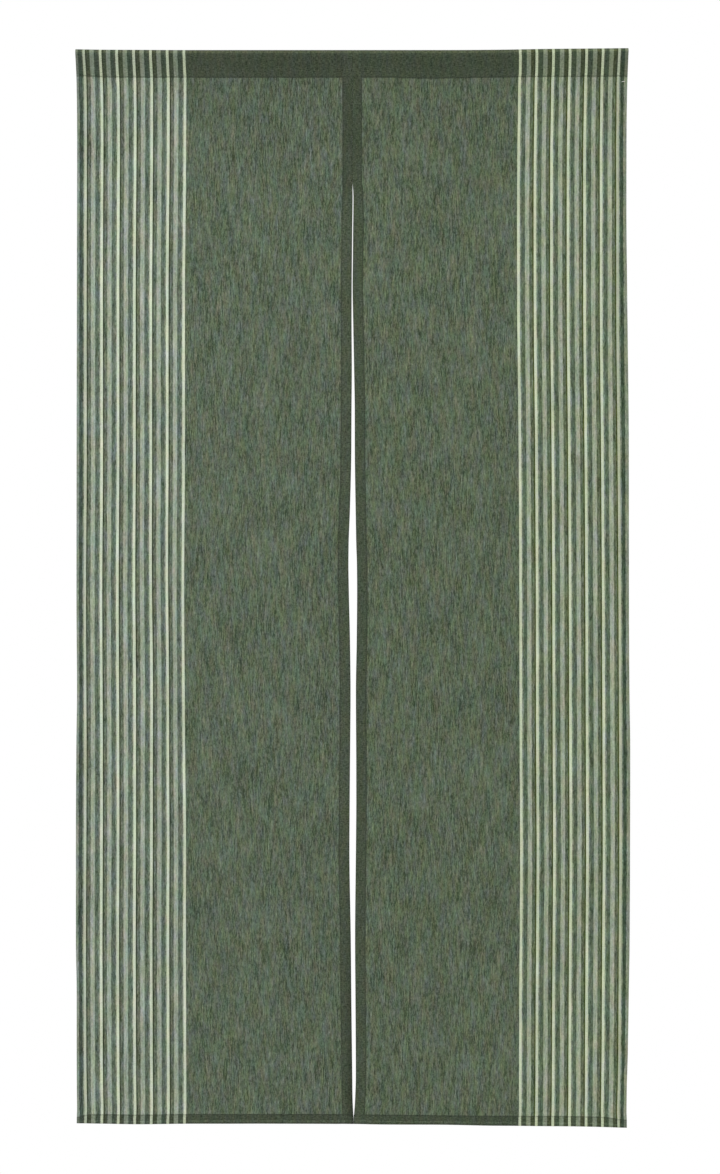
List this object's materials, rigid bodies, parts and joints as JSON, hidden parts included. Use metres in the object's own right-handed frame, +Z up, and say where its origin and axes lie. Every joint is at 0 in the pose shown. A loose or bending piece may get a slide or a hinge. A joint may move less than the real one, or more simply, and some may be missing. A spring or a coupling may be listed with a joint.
{
  "type": "noren split doorway curtain",
  "caption": "Split doorway curtain in striped cloth, with a rod pocket along its top, a short centre seam below it and a long slit from there to the hemmed foot.",
  "frame": {"origin": "middle of the top edge, on the centre line of the seam and above the line of the rod", "axes": "+Z up, +X to the right seen from the front, the front of the cloth faces -Y"},
  "size_m": [0.8656, 0.016, 1.6842],
  "materials": {
    "cloth": "matt yarn-dyed cloth, mottled olive and teal green with cream and pale green side stripes",
    "thread": "matt dark green sewing thread",
    "thread_end": "off-white thread"
  },
  "bodies": {
    "root": {"heading_left": "cloth", "heading_right": "cloth", "panel_left": "cloth", "panel_right": "cloth"}
  },
  "joints": []
}
